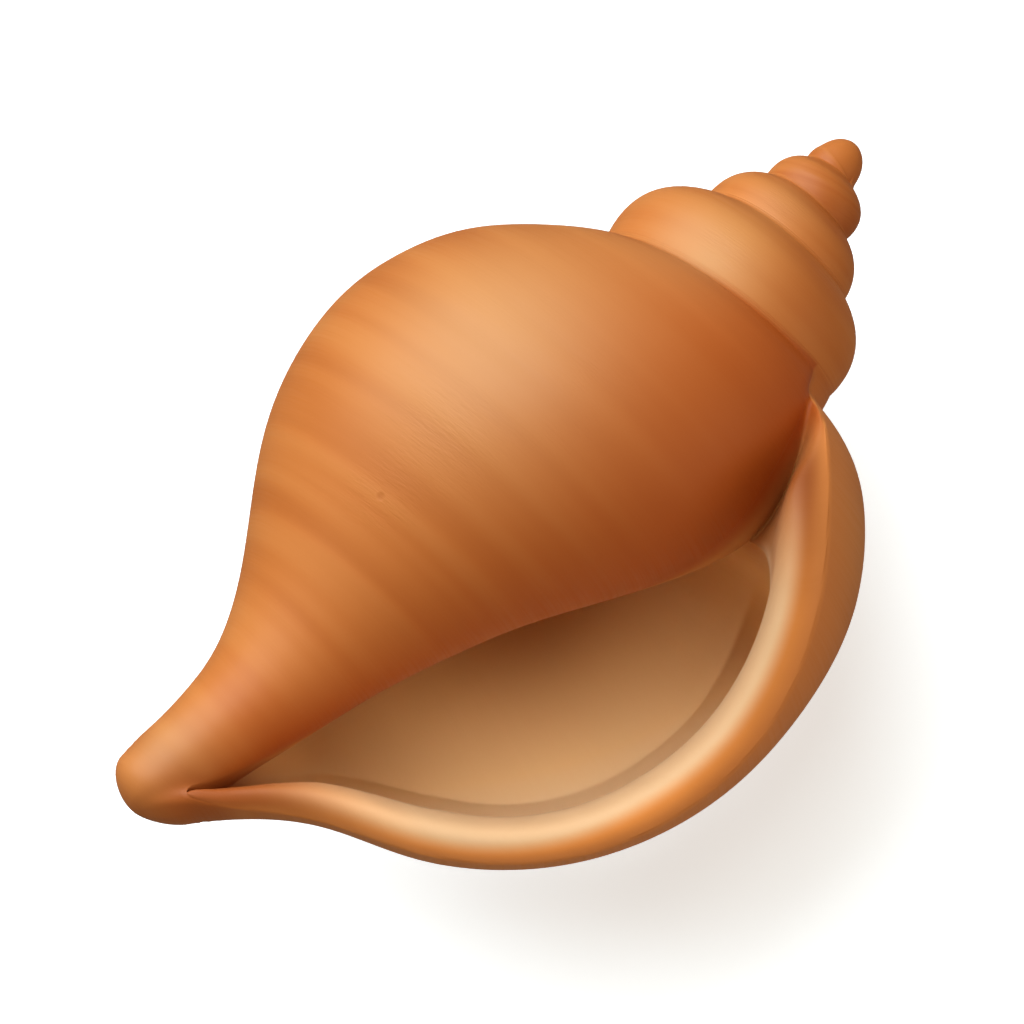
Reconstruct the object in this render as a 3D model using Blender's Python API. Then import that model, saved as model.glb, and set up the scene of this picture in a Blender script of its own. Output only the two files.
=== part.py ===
"""A sea snail's shell, about 90 mm long, lying on its back with the mouth up.

The shell grew as one piece, so it is one solid: a closed skin that runs from the tip of
the spire down the whorls to the canal, turns over the thick lip and lines the mouth.

It is modelled upright, apex up along +Z with the mouth's side towards -Y, and laid down at
the end. A place on it is a turn, a height and a radius from the centre line: turn 0 is the
lip, turn -1 the same side one whorl earlier, and so on back to the apex. Lengths are in
millimetres and become metres where the mesh is made.
"""

import math

import bmesh
import bpy
import numpy as np

MM = 0.001

# How finely the solid is faceted
COLUMNS = 48  # facets round one whorl
SPIRE_ROWS = 6  # facets from one suture to the next
MOUTH_ROWS = 27  # facets from the last suture to the end of the mouth's groove
TIP_ROWS = 4  # facets over the round tip of the canal
DOME_ROWS = 4  # facets over the first whorl
EDGE_RINGS = 8  # facets over the lip
THROAT_RINGS = 13  # facets along the hollow behind it
SAMPLES = 121  # points along an outline when it is measured

# Overall heights, from the middle of the shell
APEX_HEIGHT = 46.9
TIP_HEIGHT = -43.1

# The centre line leans a little to one side at both ends: (height, sideways)
CENTRE_LINE = [
    (47.5, -0.6), (36.0, 1.35), (25.0, 2.2), (11.0, 2.2), (-1.0, 1.5), (-12.0, 0.1),
    (-26.0, -3.0), (-36.0, -4.2), (-44.0, -4.3),
]

# The direction of the lip's edge, from -Y round to +X, and of the groove's side on the body
# where the two part along the canal: (height, degrees)
LIP_TOP_ANGLE = 44.0
LIP_SIDE_FROM = -0.9  # the turn after which a whorl starts to follow the lip's angle
LIP_SIDE_OVER = 0.3  # over how many turns it goes from the body's angle to the lip's
SHIFT_START = 12  # how soon below the suture the edge's own direction sets in
LIP_ANGLE = [
    (47.5, 44.0), (36.0, 44.0), (27.0, 44.0), (20.0, 44.0), (12.6, 51.0), (5.0, 61.0), (-3.0, 69.0),
    (-11.0, 73.0), (-20.0, 76.0), (-25.5, 75.0), (-29.5, 73.0), (-33.5, 69.0), (-36.5, 60.0), (-38.8, 40.0),
    (-40.3, 12.0), (-44.0, 5.0),
]
BODY_ANGLE = [
    (47.5, 44.0), (36.0, 44.0), (27.0, 44.0), (20.0, 44.0), (12.6, 51.0), (5.0, 61.0), (-3.0, 69.0),
    (-11.0, 73.0), (-20.0, 76.0), (-25.5, 73.0), (-29.5, 66.0), (-33.5, 56.0), (-37.0, 38.0), (-40.3, 12.0),
    (-44.0, 5.0),
]

# The suture, which is the groove between whorls: (turn, height, radius)
FIRST_TURN = -5.0
# Where on a ball the first whorl starts over its foot, in degrees below or above its widest
DOME_START = [(-5.0, -8.0), (-4.878, 8.0), (-4.628, 25.0), (-4.378, 8.0), (-4.128, -20.0), (-4.0, -8.0)]
SUTURE = [
    (-5.0, 43.5, 1.9), (-4.878, 43.9, 2.2), (-4.628, 44.5, 2.8), (-4.378, 44.1, 2.2), (-4.128, 43.6, 1.8),
    (-4.0, 43.5, 1.9), (-3.878, 43.3, 2.3), (-3.628, 42.6, 3.2), (-3.378, 41.4, 3.7), (-3.128, 39.8, 4.1),
    (-2.628, 38.7, 5.3), (-2.128, 35.5, 7.3), (-1.628, 33.2, 8.5), (-1.128, 28.2, 11.8),
    (-0.878, 25.8, 12.6), (-0.628, 23.6, 12.7), (-0.378, 24.4, 13.3), (-0.128, 26.3, 12.3),
    (0.0, 25.0, 12.8),
]
# How far a whorl of the spire stands out between its sutures: (turn, share of its width)
BULGE = [
    (-5.0, 0.05), (-4.628, 0.10), (-4.45, 0.10), (-4.128, 0.27), (-3.628, 0.18), (-3.1, 0.16), (-2.1, 0.19),
    (-1.6, 0.25), (-1.35, 0.23), (-1.15, 0.02), (-1.0, 0.0),
]

# The last whorl's outline at some turns, from its suture to the groove's end: (height, radius)
GROOVE_END = -40.3
TIP_ROUND = 0.55  # how fully the canal's tip is rounded
TIP_START = 0.985  # where on the outline the slope that the tip goes on with is taken
TIP_SPREAD = 16  # that slope is averaged over this part of a turn to either side
TIP_LEAST = 0.3  # the least and most that the tip narrows to before it closes
TIP_MOST = 1.1
OUTLINES = {
    -1.628: [
        (33.2, 8.5), (30.5, 12.0), (26.5, 13.5), (22.0, 13.4), (16.0, 12.0), (10.0, 9.6), (3.0, 7.4),
        (-4.0, 6.0), (-12.0, 5.2), (-21.0, 4.8), (-30.0, 4.4), (-37.0, 4.2), (GROOVE_END, 4.2),
    ],
    -1.128: [
        (28.2, 11.8), (26.0, 13.4), (22.4, 14.6), (17.3, 15.5), (11.0, 15.0), (3.7, 12.0), (-3.7, 8.3),
        (-10.0, 6.2), (-18.2, 5.5), (-26.4, 5.5), (-33.0, 4.9), (-37.5, 4.4), (GROOVE_END, 4.3),
    ],
    -0.878: [
        (25.8, 12.6), (23.9, 15.2), (19.0, 17.9), (13.0, 19.6), (5.5, 19.8), (-2.0, 17.6), (-9.0, 14.0),
        (-15.5, 10.6), (-22.5, 7.4), (-29.0, 5.4), (-34.5, 4.5), (-38.0, 4.3), (GROOVE_END, 4.3),
    ],
    -0.628: [
        (23.6, 12.7), (21.6, 16.2), (16.4, 21.7), (10.0, 24.8), (2.7, 25.5), (-5.5, 23.1), (-12.8, 18.1),
        (-20.0, 11.1), (-26.4, 6.3), (-31.5, 4.6), (-35.5, 4.1), (-38.5, 4.1), (GROOVE_END, 4.0),
    ],
    -0.378: [
        (24.4, 13.3), (22.9, 17.8), (19.5, 23.4), (13.8, 27.7), (6.0, 29.4), (-3.3, 28.0), (-11.8, 24.0),
        (-19.5, 18.6), (-26.0, 12.4), (-31.0, 7.6), (-35.0, 5.4), (-38.2, 4.7), (GROOVE_END, 4.5),
    ],
    -0.128: [
        (26.3, 12.3), (25.3, 17.0), (22.6, 21.3), (17.3, 25.7), (10.0, 29.0), (0.0, 30.9), (-9.1, 30.7),
        (-17.3, 28.8), (-23.7, 25.2), (-28.6, 19.6), (-32.3, 12.5), (-37.0, 7.25), (GROOVE_END, 4.6),
    ],
    0.0: [
        (25.0, 12.8), (24.1, 16.2), (21.4, 20.4), (16.6, 25.0), (9.6, 28.9), (0.0, 31.2), (-9.2, 31.3),
        (-17.5, 29.4), (-24.0, 25.6), (-28.9, 19.7), (-32.8, 12.3), (-37.4, 6.8), (GROOVE_END, 4.6),
    ],
    0.15: [
        (24.4, 12.9), (23.6, 15.8), (21.0, 20.0), (16.0, 24.8), (9.0, 29.0), (-0.3, 31.8), (-9.4, 32.2),
        (-17.7, 30.0), (-24.4, 25.8), (-29.2, 19.8), (-33.0, 12.0), (-37.6, 6.6), (GROOVE_END, 4.2),
    ],
}

# The lip, from the outer skin over the crest to the inner rim: (inward, forward)
LIP_EDGE = [
    (0.0, 0.0), (0.4, 0.95), (0.95, 1.7), (1.65, 2.2), (2.5, 2.3), (3.4, 1.8), (4.3, 0.8),
    (4.95, -0.3), (5.3, -1.6),
]
# How much of that the lip has at a height, since it thins out towards the canal's end
LIP_SHARE = [
    (-44.0, 0.25), (-39.0, 0.30), (-36.0, 0.50), (-33.0, 0.75), (-28.0, 0.95), (-20.0, 1.0), (26.0, 1.0),
]
CREST_TOP = 26.0  # the crest dies out below this height, next to the suture
CREST_RUN = 12.0
LEAST_RADIUS = 4.0  # the crest's angle is measured at no smaller radius
SLOT = 0.8  # the narrowest the groove gets
SLOT_SHARE = 0.5  # and no more than this share of the room there is

# The hollow at some depths behind the lip, in turns: (depth, top height, bottom height, wall)
HOLLOW = [
    (0.0, 12.8, -40.2, 5.3), (0.03, 13.2, -39.0, 4.6), (0.10, 14.0, -35.0, 3.0), (0.20, 14.5, -28.5, 2.4),
    (0.35, 14.5, -22.0, 2.4), (0.50, 13.5, -17.0, 2.6),
]
CORNER = 5.0  # the rounding of the hollow's upper corner
CORNER_GROWTH = 0.7  # how it grows over the lip
END_CORNER = 3.0  # the rounding at the groove's end
THROAT_SPACING = 1.25  # the facets get longer towards the deepest part
INNER_DEPTH = 0.075  # how far in the rim lies on the inner side, in turns

# How it lies: the back rests on the floor, leaning a little towards the lip
REST_LEAN = 14.6  # degrees
REST_HEIGHT = 28.9  # from the upright axis to the worn flat that it rests on
MIDDLE_X = 1.9
MIDDLE_Y = -3.9

SHELL_COLOUR = (0.62, 0.27, 0.09, 1.0)
SHELL_ROUGHNESS = 0.45


def spline(points, at):
    """Natural cubic curve through points, a list of (place, value, ...), at the places asked."""
    table = np.array(sorted(points), float)
    x = table[:, 0]
    y = table[:, 1:]
    count = len(x)
    gap = np.diff(x)
    slope = np.diff(y, axis=0) / gap[:, None]
    matrix = np.eye(count)
    right = np.zeros_like(y)
    for i in range(1, count - 1):
        matrix[i, i - 1:i + 2] = gap[i - 1], 2 * (gap[i - 1] + gap[i]), gap[i]
        right[i] = 6 * (slope[i] - slope[i - 1])
    bend = np.linalg.solve(matrix, right)
    at = np.asarray(at, float)
    k = np.clip(np.searchsorted(x, at) - 1, 0, count - 2)
    near = (at - x[k])[..., None]
    far = (x[k + 1] - at)[..., None]
    width = gap[k][..., None]
    curve = (bend[k] * far ** 3 + bend[k + 1] * near ** 3) / (6 * width)
    curve += (y[k] / width - bend[k] * width / 6) * far
    curve += (y[k + 1] / width - bend[k + 1] * width / 6) * near
    return curve[..., 0] if y.shape[1] == 1 else curve


def line(points, at):
    """Straight interpolation through points, a list of (place, value)."""
    table = np.array(sorted(points), float)
    return np.interp(at, table[:, 0], table[:, 1])


def measured(points):
    """The outline through points, sampled evenly along its length."""
    places = np.linspace(0, 1, len(points))
    dense = spline([(p, *point) for p, point in zip(places, points)], np.linspace(0, 1, 8 * SAMPLES))
    run = np.concatenate([[0], np.cumsum(np.linalg.norm(np.diff(dense, axis=0), axis=1))])
    even = np.linspace(0, run[-1], SAMPLES)
    return np.stack([np.interp(even, run, dense[:, 0]), np.interp(even, run, dense[:, 1])], axis=1)


SKIN_TABLE = [(turn, *measured(points).ravel()) for turn, points in OUTLINES.items()]


def skin(turn, share):
    """(height, radius) of the last whorl at a turn, share 0 at its suture and 1 at the groove's end."""
    turn, share = np.broadcast_arrays(np.asarray(turn, float), np.asarray(share, float))
    table = spline(SKIN_TABLE, turn.ravel()).reshape(-1, SAMPLES, 2)
    step = np.clip(share.ravel(), 0, 1) * (SAMPLES - 1)
    low = np.minimum(step.astype(int), SAMPLES - 2)
    part = (step - low)[:, None]
    which = np.arange(len(low))
    found = table[which, low] * (1 - part) + table[which, low + 1] * part
    return found[:, 0].reshape(turn.shape), found[:, 1].reshape(turn.shape)


def edge_shift(turn, height):
    """How far the mouth's edge runs ahead of turn 0, or of turn -1 on the body, in turns."""
    body = spline(BODY_ANGLE, height)
    angle = body + (spline(LIP_ANGLE, height) - body) * smooth((turn - LIP_SIDE_FROM) / LIP_SIDE_OVER)
    return (LIP_TOP_ANGLE - angle) / 360


def place(turn, height, radius):
    """The upright point at a true turn, a height and a distance from the centre line."""
    angle = math.radians(LIP_TOP_ANGLE) - 2 * math.pi * turn
    across = spline(CENTRE_LINE, height)
    x = across + radius * np.sin(angle)
    y = -radius * np.cos(angle)
    return np.stack(np.broadcast_arrays(x, y, height), axis=-1)


def strip(turn, share):
    """(turn, height, radius) on a whorl, its turn counted from the lip's edge."""
    height = skin(turn, share)[0]
    true_turn = turn + edge_shift(turn, height) * np.clip(share * SHIFT_START, 0, 1)
    height, radius = skin(true_turn, share)
    return true_turn, height, radius


def suture(turn):
    """(height, radius) of the suture."""
    found = spline(SUTURE, turn)
    return found[..., 0], found[..., 1]


def smooth(t):
    t = np.clip(t, 0, 1)
    return t * t * (3 - 2 * t)


def spire_points(columns, rows):
    """Points [column, row] of the whorls above the last one, from the first turn up to turn -1."""
    turns = np.arange(round((-1 - FIRST_TURN) * columns)) / columns + FIRST_TURN
    turns = turns[:, None]
    t = np.linspace(0, 1, rows + 1)[None, :]
    top_height, top_radius = suture(turns)
    low_height, low_radius = suture(np.minimum(turns + 1, 0))
    down = low_height - top_height
    out = low_radius - top_radius
    stand = 4 * t * (1 - t) * line(BULGE, turns)
    height = top_height + t * down + stand * out
    radius = top_radius + t * out - stand * down
    return place(turns + 0 * t, height, radius)


def last_whorl_shares(columns, rows, spire_rows):
    """Where the rows of the last whorl lie along its outline, [column, row]."""
    height = skin(-1.0, np.linspace(0, 1, SAMPLES))[0]
    corner = np.interp(-suture(0.0)[0], -height, np.linspace(0, 1, SAMPLES))
    start = np.concatenate([
        np.linspace(0, corner, spire_rows + 1), np.linspace(corner, 1, rows - spire_rows + 1)[1:],
    ])
    end = np.linspace(0, 1, rows + 1)
    mix = smooth(np.linspace(0, 1, columns + 1))[:, None]
    return (1 - mix) * start + mix * end


def last_whorl_points(columns, rows, spire_rows):
    """Points [column, row] of the last whorl, from turn -1 to the lip."""
    shares = last_whorl_shares(columns, rows, spire_rows)
    turns = np.linspace(-1, 0, columns + 1)[:, None]
    return place(*strip(turns, shares))


def tip_points(columns, rows):
    """Points [column, row] over the round tip of the canal, below the groove's end."""
    turns = np.linspace(-1, 0, columns + 1)[:-1, None]
    true_turn, height, radius = strip(turns, np.ones((columns, 1)))
    before, wide = skin(true_turn, TIP_START)
    shrink = (wide - radius) / (before - height)
    reach = columns // TIP_SPREAD
    shrink = np.mean([np.roll(shrink, k, axis=0) for k in range(-reach, reach + 1)], axis=0)
    corner = np.clip(radius - shrink * (height - TIP_HEIGHT), TIP_LEAST * radius, TIP_MOST * radius)
    t = np.linspace(0, 1, rows + 1)[1:-1]
    start, leave, arrive = (1 - t) ** 3, 3 * t * (1 - t) ** 2, 3 * t * t * (1 - t)
    drop = TIP_ROUND * leave + arrive + t ** 3
    out = start * radius + leave * (radius + TIP_ROUND * (corner - radius))
    out += arrive * (1 - TIP_ROUND) * corner
    return place(true_turn + 0 * t, height + (TIP_HEIGHT - height) * drop, out)


def resample(points, count):
    """count + 1 points spread evenly along a line of points."""
    run = np.concatenate([[0], np.cumsum(np.linalg.norm(np.diff(points, axis=0), axis=1))])
    even = np.linspace(0, run[-1], count + 1)
    return np.stack([np.interp(even, run, points[:, k]) for k in range(3)], axis=1)


def mouth_ring(inward, forward, depth, inner_depth, top, bottom, corner, lip_rows, inner_rows):
    """One ring of points inside the mouth: down the lip's side, then back up the inner side."""
    shares = np.linspace(0, 1, 4 * SAMPLES)
    inner_turn, inner_height, inner_radius = strip(-1 - inner_depth, shares)
    order = np.argsort(inner_height)

    def inner(height):
        turn = np.interp(height, inner_height[order], inner_turn[order])
        return turn + 1, np.interp(height, inner_height[order], inner_radius[order])

    turn, height, radius = strip(-depth, shares)
    along = np.stack([np.gradient(height), np.gradient(radius)])
    along /= np.linalg.norm(along, axis=0)
    thick = inward * line(LIP_SHARE, height)
    gap = np.maximum(radius - inner(height)[1], 0)
    height = height - thick * along[1]
    radius = radius + thick * along[0]
    ahead = forward * smooth((CREST_TOP - height) / CREST_RUN) * line(LIP_SHARE, height)
    turn = turn + ahead / (2 * math.pi * np.maximum(radius, LEAST_RADIUS))
    keep = (height < top) & (height > bottom)
    turn, height, radius, gap = turn[keep], height[keep], radius[keep], gap[keep]
    inner_side, floor = inner(height)
    round_top = np.sqrt(1 - (1 - np.clip((top - height) / corner, 0, 1)) ** 2)
    round_end = np.sqrt(1 - (1 - np.clip((height - bottom) / END_CORNER, 0, 1)) ** 2)
    open_share = round_top * round_end
    radius = floor + np.maximum(radius - floor, np.minimum(SLOT, SLOT_SHARE * gap)) * open_share
    turn = inner_side + (turn - inner_side) * open_share
    ends = [(*inner(np.array(h)), h) for h in (top, bottom)]
    lip = place(
        np.concatenate([[ends[0][0]], turn, [ends[1][0]]]),
        np.concatenate([[top], height, [bottom]]),
        np.concatenate([[ends[0][1]], radius, [ends[1][1]]]),
    )
    heights = np.linspace(top, bottom, 4 * SAMPLES)
    side, deep = inner(heights)
    wall = place(side, heights, deep)
    return np.concatenate([resample(lip, lip_rows)[:-1], resample(wall, inner_rows)[:0:-1]])


def mouth_rings(edge_rings, throat_rings, lip_rows, inner_rows):
    """All rings inside the mouth, from just inside the outer skin to the deepest."""
    rings = []
    suture_height = float(suture(0.0)[0])
    profile = spline([(k, *point) for k, point in enumerate(LIP_EDGE)],
                     np.linspace(0, len(LIP_EDGE) - 1, edge_rings + 1))
    for k in range(1, edge_rings + 1):
        t = k / edge_rings
        top = suture_height + (HOLLOW[0][1] - suture_height) * t
        bottom = GROOVE_END + (HOLLOW[0][2] - GROOVE_END) * t
        inward, forward = profile[k]
        corner = CORNER * t ** CORNER_GROWTH
        rings.append(mouth_ring(inward, forward, 0.0, INNER_DEPTH * t, top, bottom, corner,
                                lip_rows, inner_rows))
    for k in range(1, throat_rings + 1):
        depth = HOLLOW[-1][0] * (k / throat_rings) ** THROAT_SPACING
        top, bottom, wall = (line([(row[0], row[n]) for row in HOLLOW], depth) for n in (1, 2, 3))
        inner_depth = INNER_DEPTH + (HOLLOW[-1][0] - INNER_DEPTH) * depth / HOLLOW[-1][0]
        rings.append(mouth_ring(wall, LIP_EDGE[-1][1], depth, inner_depth, top, bottom, CORNER,
                                lip_rows, inner_rows))
    return rings


def dome_points(columns, rows):
    """Points [row][column] over the first whorl, and the apex."""
    turns = np.arange(columns) / columns + FIRST_TURN
    height, radius = suture(turns)
    start = np.radians(spline(DOME_START, turns))
    widest = radius / np.cos(start)
    middle = (height - APEX_HEIGHT * np.sin(start)) / (1 - np.sin(start))
    rings = []
    for k in range(1, rows):
        rise = start + (math.pi / 2 - start) * k / rows
        rings.append(place(turns, middle + (APEX_HEIGHT - middle) * np.sin(rise), widest * np.cos(rise)))
    across = float(spline(CENTRE_LINE, APEX_HEIGHT))
    return rings, np.array([across, 0.0, APEX_HEIGHT])


def shell_mesh(columns, spire_rows, mouth_rows, tip_rows, dome_rows, edge_rings, throat_rings):
    """Points and faces of the whole upright shell."""
    points = []
    faces = []

    def add(new):
        first = len(points)
        points.extend(np.asarray(new).reshape(-1, 3))
        return list(range(first, len(points)))

    def skin_between(left, right):
        for i in range(len(left) - 1):
            corners = [left[i], right[i], right[i + 1], left[i + 1]]
            kept = [c for k, c in enumerate(corners) if c != corners[k - 1]]
            if len(set(kept)) > 2:
                faces.append(kept)

    spire = spire_points(columns, spire_rows)
    last = last_whorl_points(columns, mouth_rows, spire_rows)
    turns_above = len(spire)
    grid = {}
    for c in range(turns_above):
        grid[c] = add(spire[c, :-1]) + [None]
    for c in range(columns + 1):
        grid[turns_above + c] = add(last[c])
    first_corner = grid[0][0]
    grid[0] = [first_corner] * (spire_rows + 1)
    grid[columns][0] = first_corner
    end = turns_above + columns
    grid[end][0] = grid[turns_above][spire_rows]
    grid[end][mouth_rows] = grid[turns_above][mouth_rows]
    for c in range(1, turns_above):
        grid[c][-1] = grid[c + columns][0]
    for c in range(turns_above - 1):
        skin_between(grid[c], grid[c + 1])
    skin_between(grid[turns_above - 1], grid[turns_above][:spire_rows + 1])
    for c in range(turns_above, end):
        skin_between(grid[c], grid[c + 1])

    tip = tip_points(columns, tip_rows)
    tip_columns = [[grid[turns_above + c][mouth_rows]] + add(tip[c]) for c in range(columns)]
    pole = add([[float(spline(CENTRE_LINE, TIP_HEIGHT)), 0.0, TIP_HEIGHT]])
    for c in range(columns):
        skin_between(tip_columns[c] + pole, tip_columns[(c + 1) % columns] + pole)

    dome, apex = dome_points(columns, dome_rows)
    rings = [[grid[c][0] for c in range(columns)]] + [add(ring) for ring in dome] + [add([apex]) * columns]
    for lower, upper in zip(rings, rings[1:]):
        skin_between(upper + upper[:1], lower + lower[:1])

    inner_rows = mouth_rows - spire_rows
    loop = grid[end][:-1] + grid[turns_above][:spire_rows:-1]
    for ring in mouth_rings(edge_rings, throat_rings, mouth_rows, inner_rows):
        inside = add(ring)
        skin_between(loop + loop[:1], inside + inside[:1])
        loop = inside
    middle = add([np.mean([points[p] for p in loop], axis=0)]) * len(loop)
    skin_between(loop + loop[:1], middle + middle[:1])

    used = sorted({p for face in faces for p in face})
    number = {p: k for k, p in enumerate(used)}
    return np.array([points[p] for p in used]), [[number[p] for p in face] for face in faces]


def laid_down(points):
    """The upright points turned onto the floor, resting on a small flat, in metres."""
    lean = math.radians(REST_LEAN)
    up = -points[:, 0] * math.sin(lean) - points[:, 1] * math.cos(lean)
    aside = -points[:, 0] * math.cos(lean) + points[:, 1] * math.sin(lean)
    up = np.maximum(up + REST_HEIGHT, 0)
    return np.stack([points[:, 2] - MIDDLE_X, aside - MIDDLE_Y, up], axis=1) * MM


def shell_material():
    material = bpy.data.materials.new("orange shell")
    material.use_nodes = True
    surface = material.node_tree.nodes["Principled BSDF"]
    surface.inputs["Base Color"].default_value = SHELL_COLOUR
    surface.inputs["Roughness"].default_value = SHELL_ROUGHNESS
    surface.inputs["Metallic"].default_value = 0.0
    return material


def main():
    for thing in list(bpy.data.objects):
        bpy.data.objects.remove(thing)
    points, faces = shell_mesh(COLUMNS, SPIRE_ROWS, MOUTH_ROWS, TIP_ROWS, DOME_ROWS, EDGE_RINGS,
                               THROAT_RINGS)
    mesh = bpy.data.meshes.new("shell")
    mesh.from_pydata(laid_down(points).tolist(), [], faces)
    solid = bmesh.new()
    solid.from_mesh(mesh)
    bmesh.ops.triangulate(solid, faces=solid.faces)
    bmesh.ops.recalc_face_normals(solid, faces=solid.faces)
    solid.to_mesh(mesh)
    solid.free()
    mesh.shade_smooth()
    mesh.materials.append(shell_material())
    shell = bpy.data.objects.new("shell", mesh)
    bpy.context.scene.collection.objects.link(shell)


main()
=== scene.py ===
"""The sea snail's shell, lying on its back on a pale table in soft daylight.

One piece: the shell's skin, made finer than the solid from the same curves, with the colour
of each part of it. A place on the upright shell is a turn, a height and a radius from the
centre line: turn 0 is the lip and turn -1 the same side one whorl earlier. Lengths in the
shape's tables are in millimetres.
"""
import math

import bmesh
import bpy
import numpy as np
from mathutils import Matrix, Vector


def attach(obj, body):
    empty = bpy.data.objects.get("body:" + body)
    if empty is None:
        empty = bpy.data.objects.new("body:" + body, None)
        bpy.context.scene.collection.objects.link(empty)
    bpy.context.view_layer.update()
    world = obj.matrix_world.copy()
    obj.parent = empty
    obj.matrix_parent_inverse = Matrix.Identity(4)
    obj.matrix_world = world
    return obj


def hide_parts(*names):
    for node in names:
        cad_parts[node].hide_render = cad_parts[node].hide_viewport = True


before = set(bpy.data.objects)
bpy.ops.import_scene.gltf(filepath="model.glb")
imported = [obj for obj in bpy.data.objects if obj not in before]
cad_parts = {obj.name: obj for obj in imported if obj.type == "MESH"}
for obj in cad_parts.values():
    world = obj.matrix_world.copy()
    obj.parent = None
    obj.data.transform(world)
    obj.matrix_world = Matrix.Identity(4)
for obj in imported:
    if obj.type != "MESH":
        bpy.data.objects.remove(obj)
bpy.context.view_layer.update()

MM = 0.001

# How finely the skin is faceted
COLUMNS = 192
SPIRE_ROWS = 18
MOUTH_ROWS = 100
TIP_ROWS = 14
DOME_ROWS = 12
EDGE_RINGS = 30
THROAT_RINGS = 40
SAMPLES = 121
AT_ONCE = 4000  # how many places of the outline are worked out together

# The solid's own measures, repeated

# Overall heights, from the middle of the shell
APEX_HEIGHT = 46.9
TIP_HEIGHT = -43.1

# The centre line leans a little to one side at both ends: (height, sideways)
CENTRE_LINE = [
    (47.5, -0.6), (36.0, 1.35), (25.0, 2.2), (11.0, 2.2), (-1.0, 1.5), (-12.0, 0.1),
    (-26.0, -3.0), (-36.0, -4.2), (-44.0, -4.3),
]

# The direction of the lip's edge, from -Y round to +X, and of the groove's side on the body
# where the two part along the canal: (height, degrees)
LIP_TOP_ANGLE = 44.0
LIP_SIDE_FROM = -0.9  # the turn after which a whorl starts to follow the lip's angle
LIP_SIDE_OVER = 0.3  # over how many turns it goes from the body's angle to the lip's
SHIFT_START = 12  # how soon below the suture the edge's own direction sets in
LIP_ANGLE = [
    (47.5, 44.0), (36.0, 44.0), (27.0, 44.0), (20.0, 44.0), (12.6, 51.0), (5.0, 61.0), (-3.0, 69.0),
    (-11.0, 73.0), (-20.0, 76.0), (-25.5, 75.0), (-29.5, 73.0), (-33.5, 69.0), (-36.5, 60.0), (-38.8, 40.0),
    (-40.3, 12.0), (-44.0, 5.0),
]
BODY_ANGLE = [
    (47.5, 44.0), (36.0, 44.0), (27.0, 44.0), (20.0, 44.0), (12.6, 51.0), (5.0, 61.0), (-3.0, 69.0),
    (-11.0, 73.0), (-20.0, 76.0), (-25.5, 73.0), (-29.5, 66.0), (-33.5, 56.0), (-37.0, 38.0), (-40.3, 12.0),
    (-44.0, 5.0),
]

# The suture, which is the groove between whorls: (turn, height, radius)
FIRST_TURN = -5.0
# Where on a ball the first whorl starts over its foot, in degrees below or above its widest
DOME_START = [(-5.0, -8.0), (-4.878, 8.0), (-4.628, 25.0), (-4.378, 8.0), (-4.128, -20.0), (-4.0, -8.0)]
SUTURE = [
    (-5.0, 43.5, 1.9), (-4.878, 43.9, 2.2), (-4.628, 44.5, 2.8), (-4.378, 44.1, 2.2), (-4.128, 43.6, 1.8),
    (-4.0, 43.5, 1.9), (-3.878, 43.3, 2.3), (-3.628, 42.6, 3.2), (-3.378, 41.4, 3.7), (-3.128, 39.8, 4.1),
    (-2.628, 38.7, 5.3), (-2.128, 35.5, 7.3), (-1.628, 33.2, 8.5), (-1.128, 28.2, 11.8),
    (-0.878, 25.8, 12.6), (-0.628, 23.6, 12.7), (-0.378, 24.4, 13.3), (-0.128, 26.3, 12.3),
    (0.0, 25.0, 12.8),
]
# How far a whorl of the spire stands out between its sutures: (turn, share of its width)
BULGE = [
    (-5.0, 0.05), (-4.628, 0.10), (-4.45, 0.10), (-4.128, 0.27), (-3.628, 0.18), (-3.1, 0.16), (-2.1, 0.19),
    (-1.6, 0.25), (-1.35, 0.23), (-1.15, 0.02), (-1.0, 0.0),
]

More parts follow.
